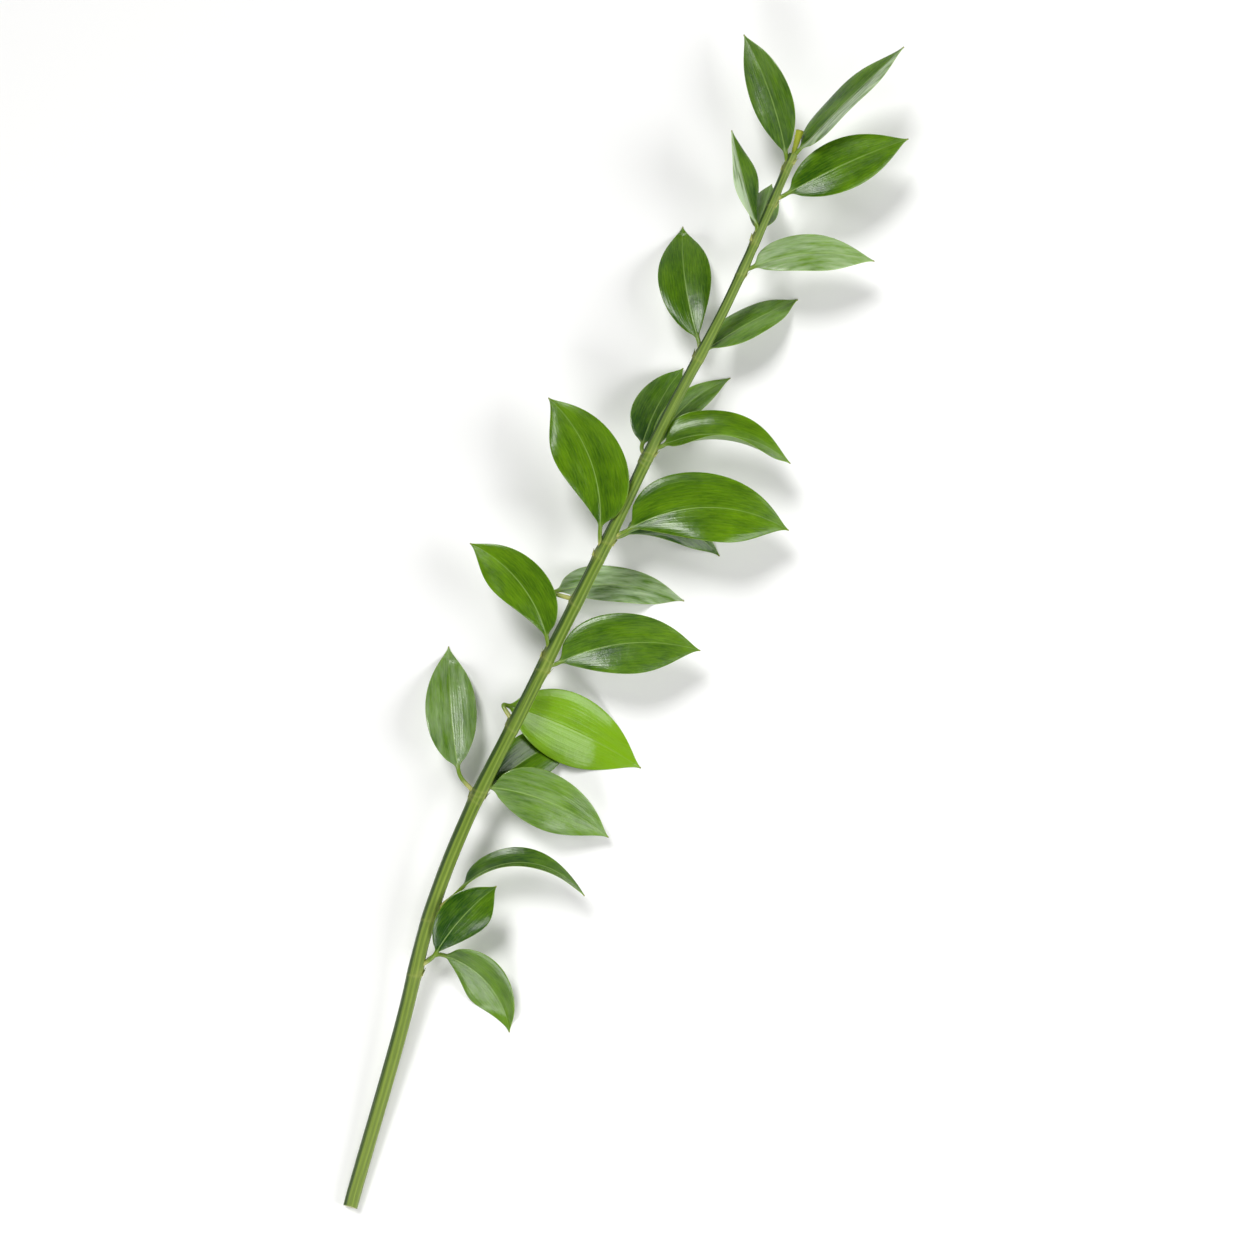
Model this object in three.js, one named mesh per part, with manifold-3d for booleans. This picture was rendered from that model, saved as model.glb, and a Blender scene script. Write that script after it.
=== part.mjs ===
// A fresh cut stem of ruscus, laid down on a flat surface: one long cane that thins towards its
// top, with leathery pointed leaves on short stalks most of the way up and a bud at the end.
// Millimetres, +Z up. +Y runs from the cut end to the tip, and the origin is on the surface,
// under the middle of the whole stem.

import * as THREE from "three";
import { mergeVertices } from "three/addons/utils/BufferGeometryUtils.js";
import Module from "manifold-3d";

const wasm = await Module();
wasm.setup();

const { abs, sin, cos, tan, atan2, exp, log, log1p, sqrt, max, sign, PI } = Math;
const radians = THREE.MathUtils.degToRad;

// The middle of the whole stem, measured from its cut end.
const MIDDLE = { x: -1.06, y: 334.67 };

// The cane's middle line from the cut end to the tip: x to the side, y along, z above the surface.
// It bows to the left low down, and its leaves hold its upper part off the surface.
const CANE_LINE = [
  [0, 0, 3.9],
  [-11, 95, 11],
  [-20.5, 160, 19],
  [-22, 220, 24],
  [-17, 290, 27],
  [-11, 375, 28],
  [-7.5, 445, 28.5],
  [-1.5, 515, 29],
  [0, 597, 30],
];
const CANE = { butt: 4.1, tip: 2.25, taper: 2.7, sides: 12, stations: 84, slant: 20 };
const KNUCKLE = { height: 0.45, reach: 7 }; // the swelling where a leaf stalk leaves the cane

// Leaves from the cut end upwards, in millimetres and degrees.
// at: where the stalk leaves the cane, along the cane from its cut end
// lean: the stalk's turn away from the cane, to the right; stalk: its length
// angle: the same turn for the foot of the blade; sweep: how much more the blade turns by its tip
// rise: the blade's slope at its foot; droop: how much it has lost by its tip
// roll: the blade's turn about its midrib; fold: how far its halves rise from the midrib
// cup: how much further they bend up by their edges
// length, width: the blade's size; widest: where it is widest, as a share of its length
const LEAF_COLUMNS = [
  "at", "lean", "stalk", "angle", "sweep", "rise", "droop", "roll", "length", "width", "widest",
  "fold", "cup",
];
const LEAF_ROWS = [
  [133, 38, 14, 17, 23, 13, 8, -12, 49, 25, 0.56, 10, 8],
  [133, 50, 16, 94, 68, -8, 16, -30, 60, 28, 0.44, 12, 8],
  [163, 32, 22, 24, 104, 8, 20, 62, 74, 22, 0.46, 10, 55],
  [230, -62, 17, -36, 10, -10, 24, -10, 70, 27, 0.46, 10, 8],
  [233, 40, 5, 70, 36, -6, 14, 0, 71, 30, 0.42, 12, 8],
  [236, 60, 5, 25, 15, -27, 0, 0, 62, 25, 0.46, 8, 8],
  [272, -52, 12, 80, 16, -24, -6, 0, 84, 37, 0.46, 8, 8],
  [306, 52, 7, 36, 44, 5, 18, 5, 77, 33, 0.46, 12, 8],
  [312, -34, 9, -40, -52, 10, 20, 0, 66, 27, 0.52, 12, 8],
  [344, -94, 14, 47, 40, -27, -4, 25, 76, 22, 0.46, 10, 8],
  [371, -28, 13, -22, -52, 12, 22, 0, 76, 35, 0.5, 10, 8],
  [380, 50, 9, 36, 80, -22, 8, 0, 62, 15, 0.46, 8, 8],
  [380, 40, 11, 33, 62, 8, 26, 10, 89, 39, 0.46, 14, 8],
  [428, 15, 5, 0, 42, -24, 6, 0, 64, 14, 0.5, 8, 8],
  [425, -40, 9, -10, 24, -26, 0, 0, 53, 24, 0.46, 8, 8],
  [431, 48, 6, 39, 66, 12, 30, 50, 72, 36, 0.4, 10, 70],
  [486, -35, 8, -45, 20, -12, 28, 0, 71, 28, 0.54, 8, 8],
  [486, 20, 5, 25, 12, -22, 8, 28, 63, 20, 0.5, 8, 8],
  [535, 50, 5, 42, 40, 0, 12, 22, 66, 22, 0.42, 10, 8],
  [553, -10, 5, -10, 5, -30, 5, 0, 33, 15, 0.46, 8, 8],
  [553, -25, 7, -42, 6, 14, 10, -54, 50, 21, 0.48, 14, 6],
  [574, 40, 8, 37, 10, 4, 14, 0, 70, 27, 0.46, 12, 8],
  [593, -30, 6, -34, -17, 2, 14, 20, 68, 22, 0.5, 12, 8],
  [598, 20, 5, 20, 4, 10, 10, 56, 76, 27, 0.4, 13, 6],
];
const LEAVES = LEAF_ROWS.map((row) =>
  Object.fromEntries(LEAF_COLUMNS.map((name, i) => [name, row[i]])),
);

// A blade's outline: how full its sides are, and how soon it narrows at its foot and its tip.
// A blade that turns is lopsided: its outer half is widest nearer its foot, its inner half nearer
// its tip, by this share of its length for each degree.
const OUTLINE = { full: 0.7, foot: 0.08, tip: 0.11, point: 0.35, lopsided: 0.0018 };
const BLADE = { thickness: 0.8, stations: 12, crowding: 0.08, curl: 0.12 };
const WAVE = { height: 1.1, count: 1.3, offset: 0.2, turn: 0.37 };
const STALK = { radius: 1.1, stations: 4, leave: 0.45, arrive: 0.35 };
const ACROSS = [1, 0.5, 0, -0.5, -1]; // where a blade's section has its points, right to left
const CREASE = 0.02; // how softly the halves meet at the midrib

// Blades that reach the surface lie flat on it.
const SURFACE = { height: 0.25, softness: 0.8 };

// The bud's radius at shares of its length: it widens a little towards its blunt top.
const BUD = { turn: -12, rise: 8, length: 13, radius: 1.8, sides: 8 };
const BUD_PROFILE = [[-0.3, 0.8], [0.1, 0.85], [0.5, 1], [0.85, 1.08], [0.96, 1], [1, 0.7]];

const LEAF_GREEN = new THREE.MeshStandardMaterial({
  color: 0x3f7d17,
  roughness: 0.35,
  metalness: 0,
});

// A direction from its turn to the right of +Y and its slope.
const direction = (heading, slope) =>
  new THREE.Vector3(sin(heading) * cos(slope), cos(heading) * cos(slope), sin(slope));

// The sideways and upward directions of a section that faces along the given direction.
function sectionAxes(along, roll = 0) {
  const heading = atan2(along.x, along.y);
  const level = new THREE.Vector3(cos(heading), -sin(heading), 0);
  const up = level.clone().cross(along);
  const side = level.clone().multiplyScalar(cos(roll)).addScaledVector(up, sin(roll));
  const normal = up.multiplyScalar(cos(roll)).addScaledVector(level, -sin(roll));
  return { side, normal };
}

// A point beside a section's middle.
const offset = (middle, { side, normal }, across, lift) =>
  middle.clone().addScaledVector(side, across).addScaledVector(normal, lift);

// A round section, its corners counted from the right over the top.
function roundSection(middle, axes, radius, sides) {
  return Array.from({ length: sides }, (_, k) => {
    const turn = ((k + 0.5) * 2 * PI) / sides;
    return offset(middle, axes, radius * cos(turn), radius * sin(turn));
  });
}

const aboveSurface = (point) => point.setZ(max(point.z, 0));

// The skin between sections with equally many corners. Its upper and lower halves are split
// into triangles alike, so that a thin blade's two faces never cross.
function skin(sections) {
  const n = sections[0].length;
  const faces = [];
  for (let i = 0; i + 1 < sections.length; i++) {
    for (let k = 0; k < n; k++) {
      const [a, b] = [i * n + k, i * n + ((k + 1) % n)];
      const [c, d] = [b + n, a + n];
      faces.push(...(k < n / 2 ? [a, d, b, d, c, b] : [a, d, c, a, c, b]));
    }
  }
  return faces;
}

// The flat end of a section, in strips from its right edge to its left.
function endCap(n, first, facesBack) {
  const faces = [];
  for (let k = 0; k < n / 2 - 1; k++) {
    const [a, b, c, d] = [k, k + 1, n - 2 - k, n - 1 - k].map((corner) => first + corner);
    faces.push(...(facesBack ? [a, b, c, a, c, d] : [a, c, b, a, d, c]));
  }
  return faces;
}

// A closed solid through a row of sections.
function loft(sections) {
  const n = sections[0].length;
  const corners = sections.flat().map(aboveSurface);
  const geometry = new THREE.BufferGeometry().setFromPoints(corners);
  geometry.setIndex([
    ...skin(sections),
    ...endCap(n, 0, true),
    ...endCap(n, (sections.length - 1) * n, false),
  ]);
  return geometry;
}

function solidOf(geometry) {
  const merged = mergeVertices(geometry, 1e-3);
  return new wasm.Manifold(
    new wasm.Mesh({
      numProp: 3,
      vertProperties: merged.attributes.position.array,
      triVerts: new Uint32Array(merged.index.array),
    }),
  );
}

const caneCurve = new THREE.CatmullRomCurve3(
  CANE_LINE.map((point) => new THREE.Vector3(...point)),
  false,
  "catmullrom",
  0.5,
);
caneCurve.arcLengthDivisions = 400;
const CANE_LENGTH = caneCurve.getLength();

// The cane's middle, direction and turn at a distance from its cut end.
function caneAt(distance) {
  const share = Math.min(distance / CANE_LENGTH, 1);
  const along = caneCurve.getTangentAt(share);
  return { middle: caneCurve.getPointAt(share), along, heading: atan2(along.x, along.y) };
}

// The cane thins slowly at first and faster near its tip, and swells at each leaf.
function caneRadius(distance) {
  const thinning = (CANE.butt - CANE.tip) * (distance / CANE_LENGTH) ** CANE.taper;
  const knuckles = LEAVES.map(({ at }) => exp(-(((distance - at) / KNUCKLE.reach) ** 2)));
  return CANE.butt - thinning + KNUCKLE.height * max(...knuckles);
}

function cane() {
  const sections = Array.from({ length: CANE.stations + 1 }, (_, i) => {
    const distance = (CANE_LENGTH * i) / CANE.stations;
    const { middle, along } = caneAt(distance);
    return roundSection(middle, sectionAxes(along), caneRadius(distance), CANE.sides);
  });
  // The cut end is slanted, its lower edge the longest.
  sections[0].forEach((corner) => {
    corner.y += corner.z * tan(radians(CANE.slant));
  });
  return solidOf(loft(sections));
}

// Half a blade's width at a share of its length, before it is scaled to the leaf's width.
function outlineAt(share, widest) {
  const bulge = sin(PI * share ** (log(0.5) / log(widest))) ** OUTLINE.full;
  return bulge * (1 - exp(-share / OUTLINE.foot)) * (1 - exp(-(1 - share) / OUTLINE.tip));
}

// The width of one half of the blade: side is 1 on the right and -1 on the left.
function halfWidth(leaf, share, side) {
  const widest = leaf.widest + OUTLINE.lopsided * leaf.sweep * side;
  const samples = Array.from({ length: 101 }, (_, i) => outlineAt(i / 100, widest));
  const blade = (leaf.width / 2) * (outlineAt(share, widest) / max(...samples));
  return blade + STALK.radius * (1 - share) ** 2 + OUTLINE.point * share ** 2;
}

// Shares of the blade's length, closer together at its foot and tip.
const bladeShares = Array.from({ length: BLADE.stations + 1 }, (_, i) => {
  const t = i / BLADE.stations;
  return t - BLADE.crowding * sin(2 * PI * t);
});

// The blade's direction at a share of its length.
function bladeDirection(leaf, share) {
  const heading = caneAt(leaf.at).heading + radians(leaf.angle + leaf.sweep * share);
  return direction(heading, radians(leaf.rise - leaf.droop * share));
}

// A point of the blade's middle layer, as its distance beside and above the midrib. Each half
// leaves the midrib at the fold's angle and bends up by the cup's, most where the blade is wide.
// Its outer part curls back down a little, and its edge waves. The tilt is the layer's slope there.
function bladePoint(leaf, index, share, across) {
  const half = halfWidth(leaf, share, sign(across));
  const fold = radians(leaf.fold);
  const cup = (radians(leaf.cup) * half) / (leaf.width / 2);
  const crease = sqrt(across ** 2 + CREASE) - sqrt(CREASE);
  const run = (sin(fold + cup * abs(across)) - sin(fold)) / cup;
  const bend = (cos(fold) - cos(fold + cup * crease)) / cup - BLADE.curl * across ** 4;
  const phase = WAVE.count * share + WAVE.turn * index + WAVE.offset * sign(across);
  const wave = (WAVE.height / (leaf.width / 2)) * across ** 2 * sin(2 * PI * phase);
  return {
    beside: half * run * sign(across),
    above: half * (bend + wave),
    tilt: fold * sign(across) + cup * across,
  };
}

// One section of the blade, its upper points right to left and its lower ones back again.
function bladeSection(leaf, index, share, middle) {
  const axes = sectionAxes(bladeDirection(leaf, share), radians(leaf.roll));
  const layer = ACROSS.map((across) => {
    const { beside, above, tilt } = bladePoint(leaf, index, share, across);
    const point = offset(middle, axes, beside, above);
    const press = log1p(exp((point.z - SURFACE.height) / SURFACE.softness));
    return { point: point.setZ(SURFACE.height + SURFACE.softness * press), tilt };
  });
  const face = ({ point, tilt }, out) => offset(point, axes, -sin(tilt) * out, cos(tilt) * out);
  const out = BLADE.thickness / 2;
  return [...layer.map((p) => face(p, out)), ...layer.map((p) => face(p, -out)).reverse()];
}

// The stalk bends from the cane's middle line into the foot of the blade.
function stalkSections(leaf, foot) {
  const { middle, heading } = caneAt(leaf.at);
  const out = direction(heading + radians(leaf.lean), radians(leaf.rise));
  const curve = new THREE.CubicBezierCurve3(
    middle,
    middle.clone().addScaledVector(out, leaf.stalk * STALK.leave),
    foot.clone().addScaledVector(bladeDirection(leaf, 0), -leaf.stalk * STALK.arrive),
    foot,
  );
  return Array.from({ length: STALK.stations + 1 }, (_, i) => {
    const t = i / STALK.stations;
    const axes = sectionAxes(curve.getTangent(t), radians(leaf.roll * t));
    return roundSection(curve.getPoint(t), axes, STALK.radius, 2 * ACROSS.length);
  });
}

// Stalk and blade in one closed loft, stepping along the midrib.
function leafSolid(leaf, index) {
  const { middle, heading } = caneAt(leaf.at);
  const out = direction(heading + radians(leaf.lean), radians(leaf.rise));
  const point = middle.clone().addScaledVector(out, leaf.stalk);
  const sections = stalkSections(leaf, point.clone());
  for (let i = 1; i < bladeShares.length; i++) {
    const [before, share] = [bladeShares[i - 1], bladeShares[i]];
    const step = (leaf.length * (share - before)) / 2;
    point.addScaledVector(bladeDirection(leaf, before), step);
    point.addScaledVector(bladeDirection(leaf, share), step);
    sections.push(bladeSection(leaf, index, share, point));
  }
  return solidOf(loft(sections));
}

// The closed bud at the cane's tip, turned a little to the left of it.
function bud() {
  const { middle, heading } = caneAt(CANE_LENGTH);
  const along = direction(heading + radians(BUD.turn), radians(BUD.rise));
  const axes = sectionAxes(along);
  const sections = BUD_PROFILE.map(([share, thickness]) => {
    const centre = middle.clone().addScaledVector(along, BUD.length * share);
    return roundSection(centre, axes, BUD.radius * thickness, BUD.sides);
  });
  return solidOf(loft(sections));
}

// Everything that grew as one piece, joined into one mesh.
function leafyStem() {
  const solid = LEAVES.map(leafSolid).reduce((sum, leaf) => sum.add(leaf), cane().add(bud()));
  const { vertProperties, triVerts } = solid.getMesh();
  const geometry = new THREE.BufferGeometry();
  geometry.setAttribute("position", new THREE.BufferAttribute(vertProperties, 3));
  geometry.setIndex(new THREE.BufferAttribute(triVerts, 1));
  geometry.computeVertexNormals();
  const mesh = new THREE.Mesh(geometry, LEAF_GREEN);
  mesh.name = "leafy_stem";
  mesh.position.set(-MIDDLE.x, -MIDDLE.y, 0);
  return mesh;
}

const stem = new THREE.Group();
stem.add(leafyStem());

export default stem;
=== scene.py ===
# %% [markdown]
# # A fresh stem of ruscus, lying on a table
# Ruscus is sold in long cut stems: one green cane with glossy pointed leaves nearly all the way
# up. This lesson starts from a plain solid of such a stem and makes it look alive: a ribbed cane
# with its scars, thin veined leaves, a bud, a soft light and a camera that looks straight down.

# %% Load the plain stem
import math

import bpy
import numpy as np
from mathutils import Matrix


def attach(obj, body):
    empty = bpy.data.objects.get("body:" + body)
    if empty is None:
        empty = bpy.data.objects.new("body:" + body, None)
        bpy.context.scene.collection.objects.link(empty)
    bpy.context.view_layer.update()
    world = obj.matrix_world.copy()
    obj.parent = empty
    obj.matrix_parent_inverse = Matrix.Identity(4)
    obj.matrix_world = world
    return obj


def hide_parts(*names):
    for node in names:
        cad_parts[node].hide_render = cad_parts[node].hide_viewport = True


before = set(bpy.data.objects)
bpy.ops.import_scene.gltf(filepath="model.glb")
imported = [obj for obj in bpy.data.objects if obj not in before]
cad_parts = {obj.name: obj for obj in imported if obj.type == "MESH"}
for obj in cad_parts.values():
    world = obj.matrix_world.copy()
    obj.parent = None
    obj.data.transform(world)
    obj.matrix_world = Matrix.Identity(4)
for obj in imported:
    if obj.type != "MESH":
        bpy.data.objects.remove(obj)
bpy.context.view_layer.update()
print("nodes of the plain stem:", sorted(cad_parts))

# %% [markdown]
# ## One way to measure
# All shapes below are worked out in millimetres from the middle of the cane's cut end, as one
# would measure a stem with a ruler. Blender wants metres from the spot under the middle of the
# whole stem, so every mesh is moved and scaled once, when it is made.

# %% From the ruler to Blender
MILLIMETRE = 0.001
MIDDLE = np.array([-1.06, 334.67, 0.0])


def to_blender(points):
    """Metres from the middle of the stem, out of millimetres from the cut end."""
    return (points - MIDDLE) * MILLIMETRE


# %% [markdown]
# ## The leaves in numbers
# Each leaf was looked at on its own and written down as one row: where its stalk leaves the cane,
# how the stalk and the blade turn, how the blade sinks, rolls and cups, and how long and wide it
# is. The last three columns are its looks: how bright its green is, how much painted sheen it
# shows, a pale whitish highlight laid on as colour, and on which half: 1 is the right one, -1 the
# left one and 0 both.

# %% One row for each leaf, from the cut end upwards
# The last two columns are the painted sheen, a pale highlight laid on as colour, and its half.
LEAF_COLUMNS = (
    "at", "lean", "stalk", "angle", "sweep", "rise", "droop", "roll", "length", "width",
    "widest", "fold", "cup", "tone", "painted_sheen", "sheen_side",
)
LEAF_ROWS = np.array([
    [133, 38, 14, 17, 23, 13, 8, -12, 49, 25, 0.56, 10, 8, 0.10, 0.00, 0],
    [133, 50, 16, 94, 68, -8, 16, -30, 60, 28, 0.44, 12, 8, 0.46, 0.08, 0],
    [163, 32, 22, 24, 104, 8, 20, 62, 74, 22, 0.46, 10, 55, 0.20, 0.05, 0],
    [230, -62, 17, -36, 10, -10, 24, -10, 70, 27, 0.46, 10, 8, 0.38, 0.45, 0],
    [233, 40, 5, 70, 36, -6, 14, 0, 71, 30, 0.42, 12, 8, 0.46, 0.35, 0],
    [236, 60, 5, 25, 15, -27, 0, 0, 62, 25, 0.46, 8, 8, 0.30, 0.00, 0],
    [272, -52, 12, 80, 16, -24, -6, 0, 84, 37, 0.46, 8, 8, 1.00, 0.05, 0],
    [306, 52, 7, 36, 44, 5, 18, 5, 77, 33, 0.46, 12, 8, 0.30, 0.05, 0],
    [312, -34, 9, -40, -52, 10, 20, 0, 66, 27, 0.52, 12, 8, 0.38, 0.00, 0],
    [344, -94, 14, 47, 40, -27, -4, 25, 76, 22, 0.46, 10, 8, 0.28, 1.00, 0],
    [371, -28, 13, -22, -52, 12, 22, 0, 76, 35, 0.50, 10, 8, 0.38, 0.00, 0],
    [380, 50, 9, 36, 80, -22, 8, 0, 62, 15, 0.46, 8, 8, 0.15, 0.10, 0],
    [380, 40, 11, 33, 62, 8, 26, 10, 89, 39, 0.46, 14, 8, 0.38, 0.00, 0],
    [428, 15, 5, 0, 42, -24, 6, 0, 64, 14, 0.50, 8, 8, 0.30, 0.20, 0],
    [425, -40, 9, -10, 24, -26, 0, 0, 53, 24, 0.46, 8, 8, 0.20, 0.10, 0],
    [431, 48, 6, 39, 66, 12, 30, 50, 72, 36, 0.40, 10, 70, 0.46, 0.00, 0],
    [486, -35, 8, -45, 20, -12, 28, 0, 71, 28, 0.54, 8, 8, 0.26, 0.00, 0],
    [486, 20, 5, 25, 12, -22, 8, 28, 63, 20, 0.50, 8, 8, 0.36, 0.20, 0],
    [535, 50, 5, 42, 40, 0, 12, 22, 66, 22, 0.42, 10, 8, 0.60, 0.95, 0],
    [553, -10, 5, -10, 5, -30, 5, 0, 33, 15, 0.46, 8, 8, 0.28, 0.50, 0],
    [553, -25, 7, -42, 6, 14, 10, -54, 50, 21, 0.48, 14, 6, 0.28, 2.60, -1],
    [574, 40, 8, 37, 10, 4, 14, 0, 70, 27, 0.46, 12, 8, 0.30, 0.00, 0],
    [593, -30, 6, -34, -17, 2, 14, 20, 68, 22, 0.50, 12, 8, 0.26, 0.12, 0],
    [598, 20, 5, 20, 4, 10, 10, 56, 76, 27, 0.40, 13, 6, 0.26, 1.30, 1],
])
LEAVES = [dict(zip(LEAF_COLUMNS, row)) for row in LEAF_ROWS]
LEAF_STARTS = LEAF_ROWS[:, 0]
print(len(LEAVES), "leaves, the longest", LEAF_ROWS[:, 8].max(), "mm")

# %% [markdown]
# ## The line of the cane
# A real cane grows in a slow bow and straightens towards the light. A few points with a smooth
# curve through them describe that well. A Catmull-Rom curve is used because it passes through
# every point, so each point can be read off the stem. Everything else hangs on this line.

# %% Points along the cane and the curve through them
CANE_POINTS = np.array([
    [0, 0, 3.9], [-11, 95, 11], [-20.5, 160, 19], [-22, 220, 24], [-17, 290, 27],
    [-11, 375, 28], [-7.5, 445, 28.5], [-1.5, 515, 29], [0, 597, 30],
])
LINE_SAMPLES = 4001


def smooth_curve(points, share):
    """Points on a Catmull-Rom curve at shares of its spans from 0 to 1.

    Between two points it is the cubic that leaves the first along half the chord of its two
    neighbours and arrives at the second along half the chord of its own.
    """
    spans = len(points) - 1
    padded = np.vstack([2 * points[0] - points[1], points, 2 * points[-1] - points[-2]])
    span = np.minimum((share * spans).astype(int), spans - 1)
    t = (share * spans - span)[:, None]
    before, start, end, after = (padded[span + i] for i in range(4))
    leaving, arriving = (end - before) / 2, (after - start) / 2
    cubic = (2 * start - 2 * end + leaving + arriving) * t**3
    square = (3 * end - 3 * start - 2 * leaving - arriving) * t**2
    return cubic + square + leaving * t + start


line_points = smooth_curve(CANE_POINTS, np.linspace(0, 1, LINE_SAMPLES))
line_steps = np.linalg.norm(np.diff(line_points, axis=0), axis=1)
line_distances = np.concatenate([[0], np.cumsum(line_steps)])
line_directions = np.gradient(line_points, axis=0)
CANE_LENGTH = line_distances[-1]


def unit(vectors):
    """The same directions, each one long."""
    return vectors / np.linalg.norm(vectors, axis=-1, keepdims=True)


def cane_at(distance):
    """Middle points and directions of the cane at distances along it."""
    look_up = [np.interp(distance, line_distances, line_points[:, i]) for i in range(3)]
    heading = [np.interp(distance, line_distances, line_directions[:, i]) for i in range(3)]
    return np.stack(look_up, -1), unit(np.stack(heading, -1))


print("the cane is", round(CANE_LENGTH, 1), "mm long")

# %% [markdown]
# ## Directions and sections
# Leaves and cane are both made as a row of sections along a line, like the ribs of a boat. A few
# helpers are enough for all of them: they turn two angles into a direction, find the sideways and
# upward directions of a section, rolled by any angle about the line, and set points about it.

# %% Helpers for directions and sections
def direction(heading, slope):
    """Unit vectors from a turn to the right of +Y and a slope above the table, in radians."""
    flat = np.cos(slope)
    return np.stack([np.sin(heading) * flat, np.cos(heading) * flat, np.sin(slope)], -1)


def section_axes(along, roll):
    """Sideways and upward directions of the sections of a line with directions `along`.

    Level lies flat and points right of the line, up is level x along, and both are turned about
    the line by roll.
    """
    heading = np.arctan2(along[:, 0], along[:, 1])
    level = np.stack([np.cos(heading), -np.sin(heading), np.zeros_like(heading)], -1)
    up = np.cross(level, along)
    turned = np.broadcast_to(roll, heading.shape)[:, None]
    side = level * np.cos(turned) + up * np.sin(turned)
    normal = up * np.cos(turned) - level * np.sin(turned)
    return side, normal


def spread_out(middles, side, normal, beside, above):
    """Points beside and above the middle of each section."""
    return middles[:, None] + side[:, None] * beside[..., None] + normal[:, None] * above[..., None]


def round_sections(middles, side, normal, radius, turn):
    """Points all round the middle of each section, at a radius and a turn from its side."""
    return spread_out(middles, side, normal, radius * np.cos(turn), radius * np.sin(turn))


def turns_around(count):
    """Evenly spaced turns, none of them exactly at a section's side."""
    return ((np.arange(count) + 0.5) * 2 * np.pi / count)[None, :]


# %% [markdown]
# ## From sections to a mesh
# Sections with equally many points can be joined by four-sided faces, row by row. Each end is
# closed by a fan to its own middle, so the piece is watertight, and no point may sink into the
# table. Numbers that the material needs later, such as how far a spot is from the leaf's edge, are
# stored on the points as attributes: they follow the surface however it bends, which a flat
# picture or a plain pattern can't.

# %% A closed tube with attributes
def add_object(name, data):
    """A new object in the scene."""
    made = bpy.data.objects.new(name, data)
    bpy.context.scene.collection.objects.link(made)
    return made


def closed_tube(name, sections, numbers):
    """A mesh object through sections (rows x points x 3), each counted from right over the top.

    numbers maps an attribute's name to one value, or one vector, for each point of the grid.
    """
    rows, around = sections.shape[:2]
    sections[..., 2] = np.maximum(sections[..., 2], 0)
    ends = sections[[0, -1]].mean(1)
    points = np.vstack([sections.reshape(-1, 3), ends])
    corner = np.arange(rows * around).reshape(rows, around)
    beside = np.roll(corner, -1, axis=1)
    walls = np.stack([corner[:-1], corner[1:], beside[1:], beside[:-1]], -1).reshape(-1, 4)
    foot, tip = np.full(around, len(points) - 2), np.full(around, len(points) - 1)
    first_end = np.stack([foot, corner[0], beside[0]], -1)
    last_end = np.stack([tip, beside[-1], corner[-1]], -1)
    mesh = bpy.data.meshes.new(name)
    mesh.from_pydata(to_blender(points), [], [*walls.tolist(), *first_end.tolist(), *last_end.tolist()])
    mesh.shade_smooth()
    for label, values in numbers.items():
        store_numbers(mesh, label, values, (rows, around))
    return add_object(name, mesh)


def store_numbers(mesh, label, values, grid):
    """One attribute on the points of a tube. Its two end middles take their ring's average."""
    is_vector = np.ndim(values) == 3
    shape = (*grid, 3) if is_vector else grid
    full = np.broadcast_to(values, shape).reshape(*grid, -1)
    flat = np.vstack([full.reshape(-1, full.shape[-1]), full[0].mean(0), full[-1].mean(0)])
    kind, field = ("FLOAT_VECTOR", "vector") if is_vector else ("FLOAT", "value")
    layer = mesh.attributes.new(label, kind, "POINT")
    layer.data.foreach_set(field, flat.astype(np.float32).ravel())


# %% [markdown]
# ## How thick the cane is
# The cane is thickest where it was cut, thins slowly at first and faster near the tip, and swells
# at every leaf. A single smooth formula with one bump for each leaf keeps the swellings exactly
# where the stalks are.

# %% The cane's radius
CANE_BUTT = 4.1
CANE_TIP = 2.25
CANE_TAPER = 2.7
KNUCKLE_HEIGHT = 0.20
KNUCKLE_REACH = 7.0


def bump(distance, reach):
    """A smooth hill, one high at zero, that has nearly gone at twice its reach."""
    return np.exp(-((distance / reach) ** 2))


def cane_radius(distance):
    """Butt radius, less a power of the distance, plus the highest of the leaves' bumps."""
    thinning = (CANE_BUTT - CANE_TIP) * (distance / CANE_LENGTH) ** CANE_TAPER
    knuckles = bump(distance[..., None] - LEAF_STARTS, KNUCKLE_REACH).max(-1)
    return CANE_BUTT - thinning + KNUCKLE_HEIGHT * knuckles


print("radius at the cut and at the tip:", cane_radius(np.array([0.0, CANE_LENGTH])).round(2))

# %% [markdown]
# ## The cane's skin
# Seen close, the cane isn't round. Soft ribs run along it and drift a little sideways, one furrow
# follows its left flank all the way, each stalk pushes out a low shoulder, and below it a thin
# ring marks where a small scale leaf sat. All of this is a radius that depends on the distance
# along the cane and the turn around it, so it is one array sum. The stations crowd together at
# the leaves, where the skin changes quickly.

# %% The cane as a function of distance and turn
CANE_AROUND = 84
RIB_COUNT = 9
RIB_HEIGHT = 0.11
FINE_RIB_COUNT = 21
FINE_RIB_HEIGHT = 0.035
FURROW_TURN = math.radians(150)
FURROW_REACH = 0.34
FURROW_DEPTH = 0.25
# How wide the painted shade on the cane's left flank spreads
SHADED_FLANK_REACH = 0.85
SHOULDER_HEIGHT = 0.35
SHOULDER_REACH = 3.5
SHOULDER_SHARPNESS = 4
RING_HEIGHT = 0.10
RING_REACH = 0.55
RING_BELOW = 2.6
RING_SAG = 1.6
SKIN_SHRINK = 0.95
CUT_SLANT = math.radians(20)
CUT_FADE = 9.0

# Slow drifts around the cane: radians to each side, and millimetres along it
RIB_DRIFT = ((0.30, 83), (0.12, 31))
FURROW_DRIFT = ((0.10, 57), (0.05, 19))
FINE_RIB_DRIFT = 60


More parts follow.
